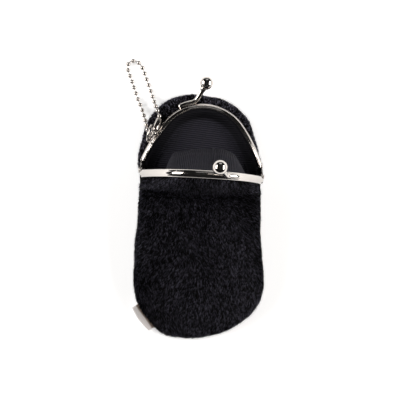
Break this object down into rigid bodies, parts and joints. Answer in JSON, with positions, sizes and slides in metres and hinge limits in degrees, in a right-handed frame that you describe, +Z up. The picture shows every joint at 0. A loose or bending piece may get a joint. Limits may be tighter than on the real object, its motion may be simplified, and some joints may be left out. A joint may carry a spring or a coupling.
{
  "type": "clasp purse",
  "caption": "Small plush coin purse lying open on its back, with a ribbed lining, an arched metal clasp frame, a ball chain on a jump ring and a blank seam label.",
  "frame": {"origin": "on the surface that the purse lies on, below the middle of the clasp frame's hinge line", "axes": "+X along the hinge line to the right, +Y from the hinge line towards the flat back half of the frame, +Z up"},
  "size_m": [0.0734, 0.1364, 0.057],
  "materials": {
    "plush": "short dense pile, near black, soft sheen",
    "ribbed_cloth": "fine ribbed weave, black, low sheen",
    "nickel": "polished nickel plate",
    "ribbon": "plain woven ribbon, pale pink grey"
  },
  "bodies": {
    "root": {"plush_back": "plush", "plush_front": "plush", "lining_back": "ribbed_cloth", "lining_front": "ribbed_cloth", "back_frame": "nickel", "front_frame": "nickel", "rivet_left": "nickel", "rivet_right": "nickel", "jump_ring": "nickel", "ball_chain": "nickel", "chain_connector": "nickel", "seam_label": "ribbon"}
  },
  "joints": []
}
